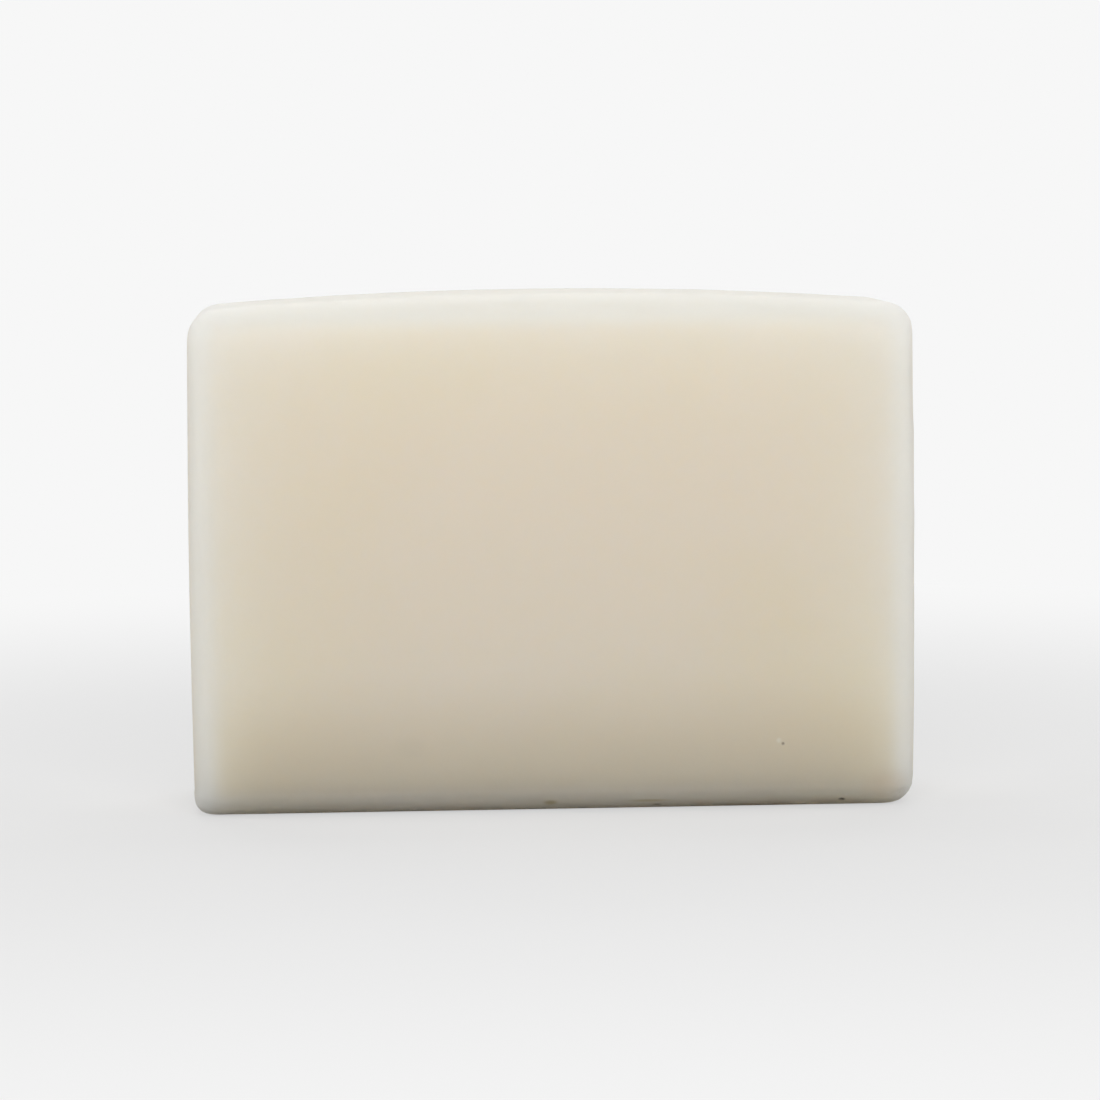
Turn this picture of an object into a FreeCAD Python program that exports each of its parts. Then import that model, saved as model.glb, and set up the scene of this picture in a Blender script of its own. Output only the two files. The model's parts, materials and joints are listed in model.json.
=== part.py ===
import FreeCAD, Part

import os
from types import SimpleNamespace

import Sketcher

# Bar of soap, moulded in one piece and standing on its long narrow side.
# X runs along its length, Y through its thickness with the front face on -Y, and Z up.
# The origin is on the surface that it stands on, under the middle of the bar.
# Sizes are in millimetres.

NODE = "soap_bar"
OUT_DIR = "parts"

# Each driving size: its name in the sheet, its value and what it measures
SIZES = [
    ("bar_length", 80.0, "end to end, at the widest place"),
    ("bar_height", 57.0, "from the flat foot to the middle of the top"),
    ("bar_thickness", 25.0, "from the front face to the back face"),
    ("top_crown", 1.55, "rise of the top side from its corners to its middle"),
    ("end_bow", 0.25, "outward bow of each end"),
    ("rim_radius", 4.0, "rounding all round the front and back faces"),
    ("top_left_radius", 3.4, "corner at the top left, seen from the front"),
    ("top_right_radius", 3.2, "corner at the top right, seen from the front"),
    ("foot_left_radius", 1.8, "sharper corner at the bottom left"),
    ("foot_right_radius", 3.0, "worn corner at the bottom right"),
]

# How constraints name the sketch's own origin and axes, and the ends of a line or an arc
ORIGIN = (-1, 1)
ACROSS_AXIS = -1
UPRIGHT_AXIS = -2
START, END = 1, 2


def fill_sheet(doc):
    """Spreadsheet with one named cell for each driving size."""
    sheet = doc.addObject("Spreadsheet::Sheet", "sizes")
    for row, (alias, value, meaning) in enumerate(SIZES, start=1):
        sheet.set(f"A{row}", alias)
        sheet.set(f"B{row}", str(value))
        sheet.set(f"C{row}", meaning)
        sheet.setAlias(f"B{row}", alias)
    doc.recompute()
    return sheet


def read_sheet(sheet):
    """The sheet's values as attributes, in millimetres."""
    return SimpleNamespace(**{alias: float(sheet.get(alias)) for alias, _, _ in SIZES})


def arc_radius(chord, rise):
    """Radius of an arc from its chord and its rise."""
    return (chord / 2) ** 2 / (2 * rise) + rise / 2


def arc_radius_text(chord, rise):
    """The same radius as an expression, from two expressions."""
    return f"(({chord}) / 2)^2 / (2 * {rise}) + {rise} / 2"


def plane_sketch(body, name, role):
    """Empty sketch on one of the body's own origin planes."""
    sketch = body.newObject("Sketcher::SketchObject", name)
    plane = next(item for item in body.Origin.OriginFeatures if item.Role == role)
    sketch.AttachmentSupport = [(plane, "")]
    sketch.MapMode = "FlatFace"
    return sketch


def drive(sketch, kind, where, value, name, expression):
    """Adds a dimension, gives it a name and ties it to the sheet."""
    index = sketch.addConstraint(Sketcher.Constraint(kind, *where, value))
    sketch.renameConstraint(index, name)
    sketch.setExpression(f"Constraints.{name}", expression)


def outline_sketch(body, size):
    """Front outline: flat foot, bowed ends and crowned top, with its corners still sharp."""
    half = size.bar_length / 2
    corner = half - size.end_bow
    shoulder = size.bar_height - size.top_crown
    foot_left = FreeCAD.Vector(-corner, 0, 0)
    foot_right = FreeCAD.Vector(corner, 0, 0)
    top_right = FreeCAD.Vector(corner, shoulder, 0)
    top_left = FreeCAD.Vector(-corner, shoulder, 0)
    right_bulge = FreeCAD.Vector(half, shoulder / 2, 0)
    left_bulge = FreeCAD.Vector(-half, shoulder / 2, 0)
    crown = FreeCAD.Vector(0, size.bar_height, 0)

    sketch = plane_sketch(body, "outline", "XZ_Plane")
    foot = sketch.addGeometry(Part.LineSegment(foot_left, foot_right))
    right = sketch.addGeometry(Part.Arc(foot_right, right_bulge, top_right))
    top = sketch.addGeometry(Part.Arc(top_right, crown, top_left))
    left = sketch.addGeometry(Part.Arc(top_left, left_bulge, foot_left))
    loop = [foot, right, top, left]
    for here, after in zip(loop, loop[1:] + loop[:1]):
        sketch.addConstraint(Sketcher.Constraint("Coincident", here, END, after, START))
    sketch.addConstraint(
        [
            Sketcher.Constraint("PointOnObject", foot, START, ACROSS_AXIS),
            Sketcher.Constraint("Symmetric", foot, START, foot, END, UPRIGHT_AXIS),
            Sketcher.Constraint("Symmetric", top, START, top, END, UPRIGHT_AXIS),
            Sketcher.Constraint("Equal", right, left),
        ]
    )

    width = "sizes.bar_length - 2 * sizes.end_bow"
    rise = "sizes.bar_height - sizes.top_crown"
    top_radius = arc_radius(2 * corner, size.top_crown)
    end_radius = arc_radius(shoulder, size.end_bow)
    drive(sketch, "DistanceX", (foot, START, foot, END), 2 * corner, "foot_width", width)
    drive(sketch, "DistanceX", (top, END, top, START), 2 * corner, "top_width", width)
    drive(sketch, "DistanceY", (*ORIGIN, top, START), shoulder, "shoulder_height", rise)
    drive(sketch, "Radius", (top,), top_radius,
          "top_radius", arc_radius_text(width, "sizes.top_crown"))
    drive(sketch, "Radius", (right,), end_radius,
          "end_radius", arc_radius_text(rise, "sizes.end_bow"))
    return sketch


def sharp_block(doc, size):
    """The bar with its edges still sharp: the outline, as thick as the bar."""
    body = doc.addObject("PartDesign::Body", "sharp_block")
    outline = outline_sketch(body, size)
    doc.recompute()
    block = body.newObject("PartDesign::Pad", "thickness")
    block.Profile = outline
    block.SideType = "Symmetric"
    block.setExpression("Length", "sizes.bar_thickness")
    doc.recompute()
    return body


def edge_radius(edge, size):
    """Rounding of one edge of the block: a rim, or one of the four corners."""
    box = edge.BoundBox
    if box.YLength < size.bar_thickness / 2:
        return size.rim_radius
    if box.Center.z > size.bar_height / 2:
        return size.top_left_radius if box.Center.x < 0 else size.top_right_radius
    return size.foot_left_radius if box.Center.x < 0 else size.foot_right_radius


def rounded_bar(doc, body, size):
    """The finished bar: rims and corners rounded together, so that they blend."""
    bar = doc.addObject("Part::Fillet", NODE)
    bar.Label = NODE
    bar.Base = body
    radii = [edge_radius(edge, size) for edge in body.Shape.Edges]
    bar.Edges = [(number, radius, radius) for number, radius in enumerate(radii, start=1)]
    bar.Placement = FreeCAD.Placement()
    doc.recompute()
    return bar


def check(doc, parts):
    """Stops if an object failed to build, or a sub-part isn't one sound solid."""
    for item in doc.Objects:
        if "Invalid" in item.State or "Error" in item.State:
            raise RuntimeError(f"{item.Label} did not build: {item.State}")
    for part in parts:
        shape = part.Shape
        if shape.isNull() or not shape.isValid() or len(shape.Solids) != 1:
            raise RuntimeError(f"{part.Label} is not one sound solid")


def main():
    """Builds the document and writes each sub-part to its own file."""
    doc = FreeCAD.newDocument("soap")
    size = read_sheet(fill_sheet(doc))
    body = sharp_block(doc, size)
    parts = [rounded_bar(doc, body, size)]
    check(doc, parts)
    os.makedirs(OUT_DIR, exist_ok=True)
    for part in parts:
        part.Shape.exportStep(os.path.join(OUT_DIR, f"{part.Label}.step"))
        box = part.Shape.optimalBoundingBox(False, False)
        print(
            f"{part.Label}: {box.XLength:.2f} x {box.YLength:.2f} x {box.ZLength:.2f} mm, "
            f"{part.Shape.Volume / 1000:.2f} cm3, {len(part.Shape.Faces)} faces"
        )


main()
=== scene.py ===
import json
import logging
import math
from dataclasses import dataclass
from enum import Enum

import bpy
from mathutils import Matrix, Vector

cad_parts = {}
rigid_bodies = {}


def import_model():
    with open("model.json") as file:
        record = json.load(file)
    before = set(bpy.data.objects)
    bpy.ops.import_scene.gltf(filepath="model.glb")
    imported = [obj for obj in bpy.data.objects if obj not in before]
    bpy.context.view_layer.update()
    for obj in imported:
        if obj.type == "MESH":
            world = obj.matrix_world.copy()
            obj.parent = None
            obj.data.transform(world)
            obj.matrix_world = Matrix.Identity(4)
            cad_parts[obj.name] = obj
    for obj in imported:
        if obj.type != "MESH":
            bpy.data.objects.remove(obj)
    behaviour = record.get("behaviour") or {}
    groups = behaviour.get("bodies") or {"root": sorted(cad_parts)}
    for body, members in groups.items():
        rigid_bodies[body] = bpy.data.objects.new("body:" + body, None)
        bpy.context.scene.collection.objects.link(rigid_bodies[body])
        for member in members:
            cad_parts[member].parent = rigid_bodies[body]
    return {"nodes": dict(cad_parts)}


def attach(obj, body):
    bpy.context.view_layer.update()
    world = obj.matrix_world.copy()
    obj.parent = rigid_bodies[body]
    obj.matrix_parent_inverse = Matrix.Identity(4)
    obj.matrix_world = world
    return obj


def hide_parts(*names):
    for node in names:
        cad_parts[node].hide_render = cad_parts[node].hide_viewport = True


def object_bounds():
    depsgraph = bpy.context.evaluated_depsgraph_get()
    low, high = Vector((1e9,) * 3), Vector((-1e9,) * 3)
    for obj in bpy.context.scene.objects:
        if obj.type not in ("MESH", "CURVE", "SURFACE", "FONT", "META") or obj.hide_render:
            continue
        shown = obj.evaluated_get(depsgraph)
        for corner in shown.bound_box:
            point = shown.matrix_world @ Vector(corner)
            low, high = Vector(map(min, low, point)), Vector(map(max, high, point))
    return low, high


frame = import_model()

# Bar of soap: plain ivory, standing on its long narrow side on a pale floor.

CAD_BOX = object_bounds()
MM = 0.001
NODE = "soap_bar"
ROOT = "root"
HIGH = Vector(CAD_BOX[1])

log = logging.getLogger("soap")

Pair = tuple[float, float]
Triple = tuple[float, float, float]


class Harm(Enum):
    """What a mark does to the bar."""

    PRESSED = "pressed in, with no stain"
    STAINED = "stained, with nothing taken away"
    CHIPPED = "broken out and stained"


@dataclass(frozen=True)
class Mark:
    """One small mark: its place, half width and depth in metres, and the colour it lays on, a stain
    or painted light and shade.

    Its length says how many times longer than wide it is.
    """

    name: str
    harm: Harm
    place: Triple
    reach: float
    depth: float = 0.0
    tint: Triple = (0.30, 0.24, 0.14)
    strength: float = 0.6
    length: float = 1.0


MARKS = (
    # Painted highlight: a pale glint on the face.
    Mark("face_fleck", Harm.STAINED, (24.4 * MM, -12.5 * MM, 7.75 * MM), 0.42 * MM,
         tint=(0.92, 0.89, 0.80), strength=0.5),
    # A small pit pressed into the face, darkened with a painted shadow.
    Mark("face_pit", Harm.CHIPPED, (24.85 * MM, -12.5 * MM, 7.4 * MM), 0.26 * MM, 0.10 * MM,
         (0.22, 0.17, 0.11), 0.95),
    Mark("foot_speck", Harm.STAINED, (-0.7 * MM, -11.3 * MM, 1.05 * MM), 0.65 * MM,
         tint=(0.50, 0.41, 0.21), strength=0.75, length=1.7),
    # A thin dark line painted near the foot; no crease is pressed there.
    Mark("foot_crease", Harm.STAINED, (11.1 * MM, -10.6 * MM, 0.6 * MM), 0.30 * MM,
         tint=(0.24, 0.19, 0.12), strength=0.7, length=2.6),
    Mark("foot_smear", Harm.STAINED, (10.2 * MM, -11.3 * MM, 1.15 * MM), 0.36 * MM,
         tint=(0.60, 0.49, 0.26), strength=0.6, length=9.0),
    Mark("low_smudge", Harm.STAINED, (-16.1 * MM, -12.5 * MM, 7.6 * MM), 1.8 * MM,
         tint=(0.70, 0.63, 0.50), strength=0.25, length=1.4),
    Mark("foot_nick", Harm.CHIPPED, (31.5 * MM, -11.0 * MM, 0.85 * MM), 0.42 * MM, 0.12 * MM,
         (0.07, 0.05, 0.03), 0.95, 1.3),
    Mark("nick_fleck", Harm.STAINED, (31.9 * MM, -11.6 * MM, 1.45 * MM), 0.3 * MM,
         tint=(0.90, 0.84, 0.74), strength=0.5),
    Mark("corner_fleck", Harm.STAINED, (36.6 * MM, -11.7 * MM, 1.65 * MM), 0.25 * MM,
         tint=(0.92, 0.86, 0.76), strength=0.6),
    Mark("corner_flake", Harm.STAINED, (37.6 * MM, -11.25 * MM, 1.55 * MM), 0.25 * MM,
         tint=(0.92, 0.86, 0.76), strength=0.6),
    Mark("corner_tan", Harm.STAINED, (36.6 * MM, -12.1 * MM, 2.3 * MM), 3.0 * MM,
         tint=(0.69, 0.53, 0.38), strength=0.4, length=1.4),
    Mark("corner_wear", Harm.PRESSED, (38.1 * MM, -10.9 * MM, 1.5 * MM), 0.8 * MM, 0.20 * MM),
    Mark("corner_crumb", Harm.PRESSED, (37.3 * MM, -10.7 * MM, 0.9 * MM), 0.5 * MM, 0.15 * MM),
)


def deselect_all() -> None:
    """Leaves nothing selected, so that an operator acts only on what is picked next."""
    bpy.ops.object.select_all(action="DESELECT")


def pick(piece: bpy.types.Object) -> None:
    """Selects one object alone and makes it the active one.

    Args:
        piece: The object that the next operators act on.
    """
    deselect_all()
    piece.select_set(True)
    bpy.context.view_layer.objects.active = piece


def apply_modifier(piece: bpy.types.Object, kind: str, **settings: object) -> None:
    """Adds a modifier with the given settings and applies it.

    Args:
        piece: The object that it works on.
        kind: Blender's name for the modifier's type.
        **settings: Values for the modifier's own properties.
    """
    pick(piece)
    modifier = piece.modifiers.new(kind.title(), kind)
    for name, value in settings.items():
        setattr(modifier, name, value)
    bpy.ops.object.modifier_apply(modifier=modifier.name)


class Shading:
    """A new material's nodes, wired with short calls."""

    SPOT_CORE = 0.2
    # Where a Mix node keeps its colour sockets
    COLOURS_IN = slice(6, 8)
    COLOUR_OUT = 2

    def __init__(self, name: str) -> None:
        """Starts a material that holds only its usual shader.

        Args:
            name: What the material is called.
        """
        self.material = bpy.data.materials.new(name)
        self.material.use_nodes = True
        self.nodes = self.material.node_tree.nodes
        self.shader = self.nodes["Principled BSDF"]
        self.output = self.nodes["Material Output"]
        place = self.node("ShaderNodeTexCoord").outputs["Object"]
        self.place = place
        split = self.node("ShaderNodeSeparateXYZ")
        self.feed(place, split.inputs[0])
        self.x, self.y, self.z = split.outputs

    def node(self, kind: str, **settings: object) -> bpy.types.Node:
        """Adds a node.

        Args:
            kind: Blender's name for the node's type.
            **settings: Values for the node's own properties.

        Returns:
            The node.
        """
        made = self.nodes.new(kind)
        for name, value in settings.items():
            setattr(made, name, value)
        return made

    def feed(self, source: object, socket: bpy.types.NodeSocket) -> None:
        """Gives a socket a value or a link.

        Args:
            source: A number, a vector, a colour or another node's output.
            socket: The input that takes it.
        """
        if isinstance(source, bpy.types.NodeSocket):
            self.material.node_tree.links.new(source, socket)
        else:
            socket.default_value = source

    def math(self, operation: str, *values: object) -> bpy.types.NodeSocket:
        """Works out one number from others.

        Args:
            operation: Blender's name for the sum.
            *values: Numbers or outputs that go into it.

        Returns:
            The result.
        """
        made = self.node("ShaderNodeMath", operation=operation)
        for value, socket in zip(values, made.inputs):
            self.feed(value, socket)
        return made.outputs[0]

    def fade(self, value: object, none: float, full: float,
             most: float = 1.0) -> bpy.types.NodeSocket:
        """Turns a value into a smooth step.

        Args:
            value: What is measured.
            none: Where the step starts at nothing.
            full: Where it is complete.
            most: Its height.

        Returns:
            The step's height at each place.
        """
        made = self.node("ShaderNodeMapRange", interpolation_type="SMOOTHSTEP")
        low, high = sorted((none, full))
        ends = (0.0, most) if none < full else (most, 0.0)
        for source, name in zip((value, low, high, *ends),
                                ("Value", "From Min", "From Max", "To Min", "To Max")):
            self.feed(source, made.inputs[name])
        return made.outputs["Result"]

    def noise(self, size: float, detail: float = 2.0,
              stretch: Triple = (1, 1, 1)) -> bpy.types.NodeSocket:
        """Makes a cloudy pattern.

        Args:
            size: How wide one cloud is, in metres.
            detail: How many finer layers it has.
            stretch: How many times wider it is along each axis.

        Returns:
            The pattern, from 0 to 1.
        """
        turned = self.node("ShaderNodeMapping")
        self.feed(self.place, turned.inputs["Vector"])
        turned.inputs["Scale"].default_value = [1 / wide for wide in stretch]
        made = self.node("ShaderNodeTexNoise")
        self.feed(turned.outputs[0], made.inputs["Vector"])
        made.inputs["Scale"].default_value = 1 / size
        made.inputs["Detail"].default_value = detail
        return made.outputs["Fac"]

    def blend(self, share: object, under: object, over: object) -> bpy.types.NodeSocket:
        """Lays one colour over another.

        Args:
            share: How much of the upper one shows.
            under: The lower colour.
            over: The upper colour.

        Returns:
            The mixed colour.
        """
        made = self.node("ShaderNodeMix", data_type="RGBA")
        sockets = (made.inputs[0], *made.inputs[self.COLOURS_IN])
        for source, socket in zip((share, under, over), sockets):
            rgb = (*source, 1.0) if isinstance(source, tuple) else source
            self.feed(rgb, socket)
        return made.outputs[self.COLOUR_OUT]

    def spot(self, mark: Mark) -> bpy.types.NodeSocket:
        """Makes a soft spot where a mark colours the skin.

        Args:
            mark: Where it is, how wide, how long and how strong.

        Returns:
            The spot's strength at each place.
        """
        offset = self.node("ShaderNodeVectorMath", operation="SUBTRACT")
        self.feed(self.place, offset.inputs[0])
        self.feed(mark.place, offset.inputs[1])
        squeezed = self.node("ShaderNodeVectorMath", operation="MULTIPLY")
        self.feed(offset.outputs[0], squeezed.inputs[0])
        self.feed((1.0 / mark.length, 1.0, 1.0), squeezed.inputs[1])
        away = self.node("ShaderNodeVectorMath", operation="LENGTH")
        self.feed(squeezed.outputs[0], away.inputs[0])
        core = self.SPOT_CORE * mark.reach
        return self.fade(away.outputs["Value"], mark.reach, core, mark.strength)


@dataclass(frozen=True)
class SoapFinish:
    """Ivory soap: light soaks deep in; a painted reflection makes the rims and the top paler, a
    painted warm glow tints the lower ends and painted shade darkens the foot.
    """

    slot: str = "soap"
    body: Triple = (0.855, 0.785, 0.675)
    warm: Triple = (0.85, 0.775, 0.625)
    # Painted shade: the darker colour laid low on the bar.
    foot: Triple = (0.735, 0.64, 0.48)
    # Painted reflection: the paler colour laid over the rims and the top.
    painted_reflection: Triple = (0.835, 0.805, 0.72)
    grime: Triple = (0.46, 0.34, 0.22)
    scatter: Triple = (1.0, 0.95, 0.9)
    depth: float = 22.0 * MM
    ior: float = 1.46
    sheen: float = 0.36
    satin: Pair = (0.56, 0.66)
    satin_cloud: float = 9.0 * MM
    satin_ends: Pair = (0.3, 0.7)
    # Painted warm glow: warmer towards both ends and lower down.
    side_glow_across: Pair = (12.0 * MM, 30.0 * MM)
    side_glow_up: Pair = (38.0 * MM, 10.0 * MM)
    side_glow_share: float = 0.45
    cloud: float = 26.0 * MM
    cloud_ends: Pair = (0.42, 0.62)
    cloud_share: float = 0.35
    mottle: float = 2.4 * MM
    mottle_ends: Pair = (0.35, 0.65)
    mottle_share: float = 0.16
    # Painted shade at the foot: darker towards the bottom, easing off on the last few millimetres.
    foot_shade_band: Pair = (17.0 * MM, 2.5 * MM)
    foot_shade_share: float = 0.85
    foot_shade_edge: Pair = (0.8 * MM, 4.0 * MM)
    # Where the painted reflection lies: near two meeting sides and along the top.
    reflection_width: float = 5.0 * MM
    reflection_edge: float = 0.6 * MM
    reflection_sides: Pair = (1.0, 2.0)
    reflection_share: float = 0.8
    top_reflection_band: Pair = (4.5 * MM, 2.0 * MM)
    grime_along: Pair = (6.0 * MM, 20.0 * MM)
    grime_up: Pair = (1.6 * MM, 0.1 * MM)
    grime_share: float = 0.45
    streak: float = 1.6 * MM
    streak_stretch: Triple = (4.0, 1.0, 0.5)
    streak_ends: Pair = (0.45, 0.7)
    fine_detail: float = 3.0
    pore: float = 0.45 * MM
    pore_depth: float = 0.006 * MM
    ripple: float = 7.0 * MM
    ripple_depth: float = 0.035 * MM
    ripple_detail: float = 1.0

    def colour(self, shading: Shading) -> bpy.types.NodeSocket:
        """Mixes the soap's own colour, a painted warm glow towards the lower ends, painted shade at
        the foot, a painted reflection on the rims and the top, and the marks.

        Args:
            shading: The material's nodes.

        Returns:
            The colour at each place.
        """
        # Painted warm glow, warmer towards both ends and lower down; clouds and mottle add random
        # tone.
        side = shading.math("ABSOLUTE", shading.x)
        side_glow = shading.math("MULTIPLY", shading.fade(side, *self.side_glow_across),
                              shading.fade(shading.z, *self.side_glow_up, self.side_glow_share))
        clouds = shading.fade(shading.noise(self.cloud), *self.cloud_ends, self.cloud_share)
        mottle = shading.fade(shading.noise(self.mottle, self.fine_detail),
                              *self.mottle_ends, self.mottle_share)
        tone_and_glow = shading.math("ADD", shading.math("ADD", side_glow, clouds), mottle)
        skin = shading.blend(tone_and_glow, self.body, self.warm)
        # Painted shade: darker towards the bottom, less again right at the floor.
        low = shading.math("MULTIPLY", shading.fade(shading.z, *self.foot_shade_band, self.foot_shade_share),
                           shading.fade(shading.z, *self.foot_shade_edge))
        skin = shading.blend(low, skin, self.foot)
        # Painted reflection: a paler colour laid over the rims and the top.
        return self.stains_and_painted_spots(shading, shading.blend(self.rims(shading), skin, self.painted_reflection))

    def rims(self, shading: Shading) -> bpy.types.NodeSocket:
        """Finds where the painted reflection goes: the top, and the rounded rims where two of the
        sides meet.

        Args:
            shading: The material's nodes.

        Returns:
            How much of the painted reflection shows: most on the top and the rims, none on the
                middle of a side.
        """
        gaps = (shading.math("SUBTRACT", HIGH.x, shading.math("ABSOLUTE", shading.x)),
                shading.math("SUBTRACT", HIGH.y, shading.math("ABSOLUTE", shading.y)),
                shading.math("SUBTRACT", HIGH.z, shading.z))
        near = [shading.fade(gap, self.reflection_width, self.reflection_edge) for gap in gaps]
        both = shading.math("ADD", shading.math("ADD", near[0], near[1]), near[2])
        top = shading.fade(gaps[2], *self.top_reflection_band)
        rims = shading.fade(both, *self.reflection_sides, self.reflection_share)
        return shading.math("MAXIMUM", rims, top)

    def stains_and_painted_spots(self, shading: Shading, clean: bpy.types.NodeSocket) -> bpy.types.NodeSocket:
        """Adds the brown streaks along the foot and the small marks, among them a painted highlight
        and a painted shadow on the face.

        Args:
            shading: The material's nodes.
            clean: The colour before them.

        Returns:
            The colour with them.
        """
        along = shading.fade(shading.x, *self.grime_along)
        streaks = shading.noise(self.streak, self.fine_detail, self.streak_stretch)
        low = shading.fade(shading.z, *self.grime_up, self.grime_share)
        share = shading.math("MULTIPLY", along, shading.fade(streaks, *self.streak_ends))
        worn = shading.blend(shading.math("MULTIPLY", share, low), clean, self.grime)
        # Marks' colours: real stains, and on the face a painted highlight and a painted shadow.
        for mark in MARKS:
            if mark.harm is not Harm.PRESSED:
                worn = shading.blend(shading.spot(mark), worn, mark.tint)
        return worn

    def relief(self, shading: Shading) -> bpy.types.NodeSocket:
        """Makes fine pores over a soft ripple.

        Args:
            shading: The material's nodes.

        Returns:
            The surface normal at each place.
        """
        pores = shading.math("MULTIPLY", shading.noise(self.pore), self.pore_depth)
        ripple = shading.math("MULTIPLY", shading.noise(self.ripple, self.ripple_detail),
                              self.ripple_depth)
        bump = shading.node("ShaderNodeBump")
        shading.feed(shading.math("ADD", pores, ripple), bump.inputs["Height"])
        bump.inputs["Distance"].default_value = 1.0
        return bump.outputs["Normal"]

    def material(self) -> bpy.types.Material:
        """Builds the soap's material.

        Returns:
            A material that reads Object coordinates.
        """
        shading = Shading("ivory_soap")
        shader = shading.shader
        shading.feed(self.colour(shading), shader.inputs["Base Color"])
        shading.feed(self.relief(shading), shader.inputs["Normal"])
        satin = shading.node("ShaderNodeMapRange")
        shading.feed(shading.noise(self.satin_cloud, self.fine_detail), satin.inputs["Value"])
        for value, name in zip((*self.satin_ends, *self.satin),
                               ("From Min", "From Max", "To Min", "To Max")):
            shading.feed(value, satin.inputs[name])
        shading.feed(satin.outputs["Result"], shader.inputs["Roughness"])
        shader.inputs["Subsurface Weight"].default_value = 1.0
        shader.inputs["Subsurface Radius"].default_value = self.scatter
        shader.inputs["Subsurface Scale"].default_value = self.depth
        shader.inputs["IOR"].default_value = self.ior
        shader.inputs["Specular IOR Level"].default_value = self.sheen
        return shading.material


@dataclass
class SoapBar:
    """The moulded bar, made dense and smooth over the form of its solid, then worn."""

    voxel: float = 0.45 * MM
    weld: float = 0.002 * MM
    smoothing: int = 12
    smooth_factor: float = 0.5
    wave_size: float = 14.0 * MM
    wave_depth: float = 0.10 * MM
    foot_clear: float = 2.5 * MM
    patch: float = 1.6
    patch_cuts: int = 2

    def build(self) -> bpy.types.Object:
        """Makes the bar's mesh from a merged copy of its solid.

        Returns:
            The finished bar.
        """
        pick(frame["nodes"][NODE])
        bpy.ops.object.duplicate()
        bar = bpy.context.active_object
        bpy.ops.object.parent_clear(type="CLEAR_KEEP_TRANSFORM")
        bar.name = "soap_body"
        bar.data.name = "soap_body"
        bpy.ops.object.mode_set(mode="EDIT")
        bpy.ops.mesh.select_all(action="SELECT")
        bpy.ops.mesh.remove_doubles(threshold=self.weld)
        bpy.ops.object.mode_set(mode="OBJECT")
        apply_modifier(bar, "REMESH", mode="VOXEL", voxel_size=self.voxel, use_smooth_shade=True)
        apply_modifier(bar, "SMOOTH", factor=self.smooth_factor, iterations=self.smoothing)
        self.soften(bar)
        for mark in MARKS:
            if mark.harm is not Harm.STAINED:
                self.press(bar, mark)
        return bar

    def soften(self, bar: bpy.types.Object) -> None:
        """Sinks the faces by a hair in slow waves, as a hand-worn bar has, and spares the foot.

        Args:
            bar: The bar's object.
        """
        skin = bar.vertex_groups.new(name="skin")
        skin.add([v.index for v in bar.data.vertices if v.co.z > self.foot_clear], 1.0, "REPLACE")
        waves = bpy.data.textures.new("waves", "CLOUDS")
        waves.noise_scale = self.wave_size
        waves.noise_depth = 1
        apply_modifier(bar, "DISPLACE", texture=waves, texture_coords="LOCAL", mid_level=1.0,
                       strength=self.wave_depth, vertex_group=skin.name)
        bar.vertex_groups.clear()
        bpy.data.textures.remove(waves)

    def press(self, bar: bpy.types.Object, mark: Mark) -> None:
        """Presses one mark into the surface, on a patch that is cut finer first.

        Args:
            bar: The bar's object.
            mark: Where the mark is, how wide and how deep.
        """
        middle = Vector(mark.place)
        pick(bar)
        for vertex in bar.data.vertices:
            vertex.select = (vertex.co - middle).length < self.patch * mark.reach
        bpy.ops.object.mode_set(mode="EDIT")
        bpy.ops.mesh.select_mode(type="VERT")
        bpy.ops.mesh.subdivide(number_cuts=self.patch_cuts)
        bpy.ops.mesh.select_all(action="DESELECT")
        bpy.ops.object.mode_set(mode="OBJECT")
        nearest = min(bar.data.vertices, key=lambda vertex: (vertex.co - middle).length)
        nearest.select = True
        inwards = -nearest.normal * mark.depth
        bpy.ops.object.mode_set(mode="EDIT")
        bpy.ops.transform.translate(value=inwards, use_proportional_edit=True,
                                    proportional_edit_falloff="SMOOTH",
                                    proportional_size=mark.reach)
        bpy.ops.object.mode_set(mode="OBJECT")
        log.info("%s: %s", mark.name, mark.harm.value)

    def dress(self, bar: bpy.types.Object, finish: SoapFinish) -> None:
        """Gives the bar its finish and its place in the frame.

        Args:
            bar: The bar's object.
            finish: What it is made of.
        """
        bar.data.materials.clear()
        bar.data.materials.append(finish.material())
        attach(bar, ROOT)
        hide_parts(NODE)


@dataclass(frozen=True)
class Softbox:
    """One rectangular lamp: its place and size in metres and its power in watts."""

    name: str
    place: Triple
    size: Pair
    power: float

    def hang(self, aim: Triple) -> None:
        """Adds the lamp, facing a point.

        Args:
            aim: The point that it faces.
        """
        lamp = bpy.data.lights.new(self.name, "AREA")
        lamp.shape = "RECTANGLE"
        lamp.size, lamp.size_y = self.size
        lamp.energy = self.power
        light = bpy.data.objects.new(self.name, lamp)
        bpy.context.scene.collection.objects.link(light)
        direction = Vector(aim) - Vector(self.place)
        turn = direction.to_track_quat("-Z", "Y").to_matrix().to_4x4()
        light.matrix_world = Matrix.Translation(self.place) @ turn


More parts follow.
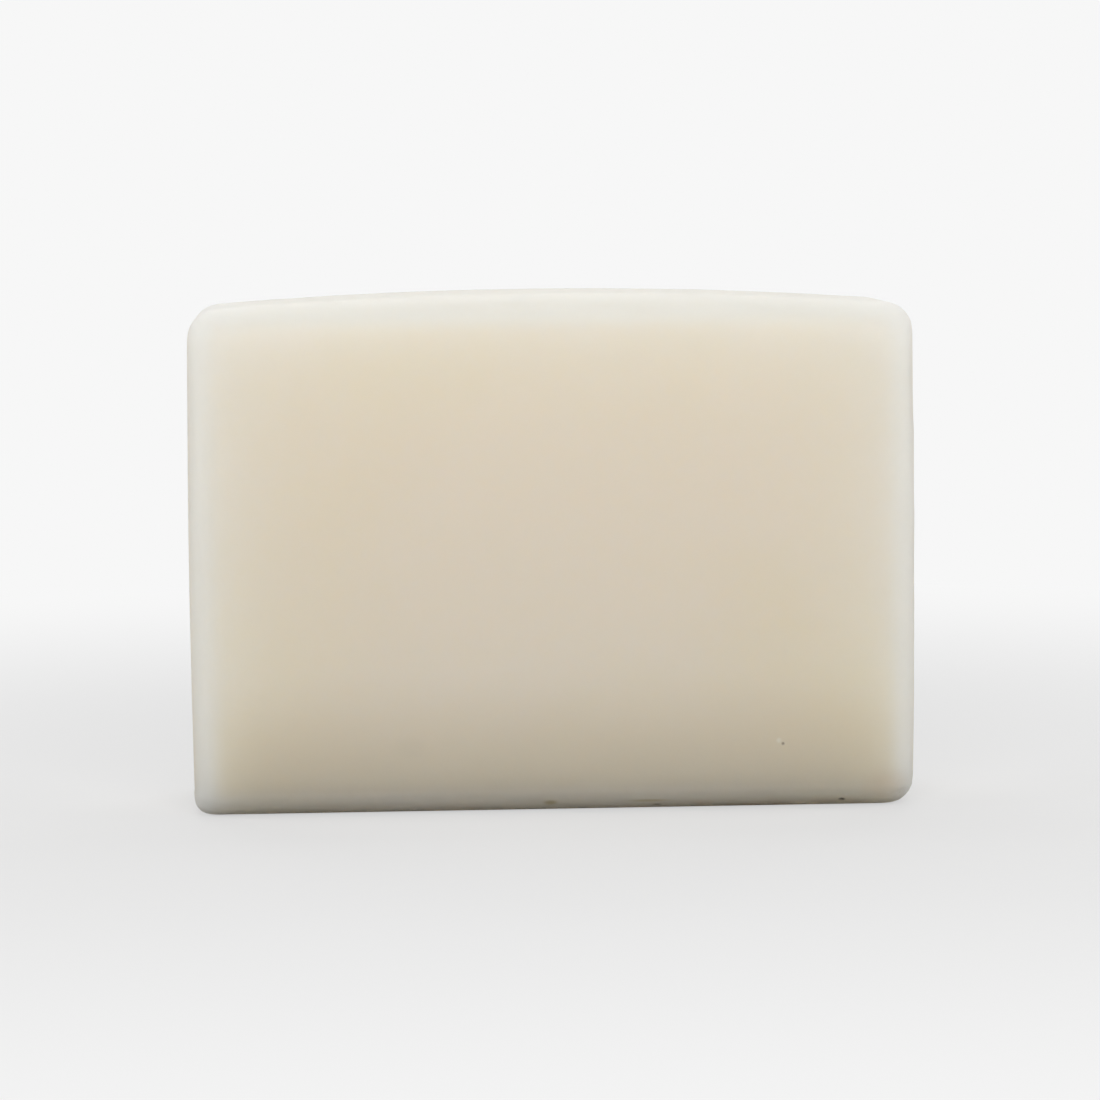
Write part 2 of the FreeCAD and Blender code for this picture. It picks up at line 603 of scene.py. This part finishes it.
@dataclass
class Studio:
    """Seamless pale floor under soft lamps: one over the camera, the rest round the bar."""

    floor_size: float = 6.0
    near: float = 0.06
    far: float = 0.24
    veil: float = 0.6
    white: float = 0.93
    bounce: float = 0.35
    paper: float = 0.62
    aim: Triple = (0.0, 0.0, 0.03)
    softboxes: tuple[Softbox, ...] = (
        Softbox("over_camera", (0.0, -0.26, 0.16), (0.20, 0.12), 0.515),
        Softbox("above", (0.0, 0.15, 0.30), (0.30, 0.20), 0.465),
        Softbox("behind", (0.0, 0.30, 0.22), (0.50, 0.20), 0.335),
        Softbox("left", (-0.30, -0.02, 0.12), (0.20, 0.20), 0.43),
        Softbox("right", (0.30, -0.02, 0.12), (0.20, 0.20), 0.43),
    )

    def paper_finish(self) -> bpy.types.Material:
        """Makes the floor's paper: a soft shadow near the bar, and even white away from it.

        Only the view sees the paper's own white. The bar gets a weaker bounce, as from a table.

        Returns:
            The floor's material.
        """
        shading = Shading("pale_paper")
        shading.nodes.remove(shading.shader)
        shade = shading.node("ShaderNodeBsdfDiffuse")
        shade.inputs["Color"].default_value = (self.paper, self.paper, self.paper, 1.0)
        even = shading.node("ShaderNodeEmission")
        even.inputs["Strength"].default_value = self.white
        table = shading.node("ShaderNodeBsdfDiffuse")
        table.inputs["Color"].default_value = (self.bounce, self.bounce, self.bounce, 1.0)
        away = shading.node("ShaderNodeVectorMath", operation="LENGTH")
        shading.feed(shading.place, away.inputs[0])
        reach = shading.fade(away.outputs["Value"], self.near, self.far, 1.0 - self.veil)
        share = shading.math("ADD", reach, self.veil)
        seen = self.mix(shading, share, shade, even)
        rays = shading.node("ShaderNodeLightPath").outputs["Is Camera Ray"]
        both = self.mix(shading, rays, table, seen)
        shading.feed(both.outputs[0], shading.output.inputs["Surface"])
        return shading.material

    def mix(self, shading: Shading, share: bpy.types.NodeSocket, under: bpy.types.Node,
            over: bpy.types.Node) -> bpy.types.Node:
        """Mixes two shaders.

        Args:
            shading: The material's nodes.
            share: How much of the upper one shows.
            under: The lower shader.
            over: The upper shader.

        Returns:
            The mixing node.
        """
        made = shading.node("ShaderNodeMixShader")
        for source, socket in zip((share, under.outputs[0], over.outputs[0]), made.inputs):
            shading.feed(source, socket)
        return made

    def build_floor(self) -> None:
        """Adds the floor that the bar stands on."""
        deselect_all()
        bpy.ops.mesh.primitive_plane_add(size=self.floor_size, location=(0, 0, 0))
        floor = bpy.context.active_object
        floor.name = "floor"
        floor.data.materials.append(self.paper_finish())

    def build_room(self) -> None:
        """Hangs the lamps and makes the room white to the view and dark to the bar."""
        for softbox in self.softboxes:
            softbox.hang(self.aim)
        world = bpy.data.worlds.new("room")
        world.use_nodes = True
        nodes, links = world.node_tree.nodes, world.node_tree.links
        rays = nodes.new("ShaderNodeLightPath")
        level = nodes.new("ShaderNodeMath")
        level.operation = "MULTIPLY"
        level.inputs[1].default_value = self.white
        links.new(rays.outputs["Is Camera Ray"], level.inputs[0])
        background = nodes["Background"]
        background.inputs["Color"].default_value = (1, 1, 1, 1)
        links.new(level.outputs[0], background.inputs["Strength"])
        bpy.context.scene.world = world
        bpy.context.scene.view_settings.view_transform = "Standard"


@dataclass
class PhotoCamera:
    """The photograph's view: nearly square on, a little from above, a touch rolled."""

    azimuth: float = -3.05
    elevation: float = 5.35
    roll: float = -0.53
    distance: float = 0.459
    aim: Triple = (0.00010, 0.0, 0.02793)
    pixels_per_mm: float = 8.93
    frame_pixels: float = 1100.0
    sensor: float = 36.0

    def build(self) -> None:
        """Places the camera and makes it the scene's own."""
        turn, rise, lean = (math.radians(a) for a in (self.azimuth, self.elevation, self.roll))
        back = Vector((math.sin(turn) * math.cos(rise), -math.cos(turn) * math.cos(rise),
                       math.sin(rise)))
        right = Vector((0, 0, 1)).cross(back).normalized()
        up = back.cross(right)
        tilted = right * math.cos(lean) + up * math.sin(lean)
        upright = up * math.cos(lean) - right * math.sin(lean)
        lens = self.pixels_per_mm / MM * self.distance * self.sensor / self.frame_pixels
        data = bpy.data.cameras.new("camera")
        data.sensor_width = self.sensor
        data.lens = lens
        camera = bpy.data.objects.new("camera", data)
        bpy.context.scene.collection.objects.link(camera)
        turned = Matrix((tilted, upright, back)).transposed().to_4x4()
        camera.matrix_world = Matrix.Translation(Vector(self.aim) + back * self.distance) @ turned
        bpy.context.scene.camera = camera


def main() -> None:
    """Builds the bar, the studio and the camera, and logs the bar's face count."""
    logging.basicConfig(level=logging.INFO, format="%(name)s: %(message)s")
    PhotoCamera().build()
    maker = SoapBar()
    bar = maker.build()
    maker.dress(bar, SoapFinish())
    log.info("%s: %d faces", bar.name, len(bar.data.polygons))
    studio = Studio()
    studio.build_floor()
    studio.build_room()


if __name__ == "__main__":
    main()
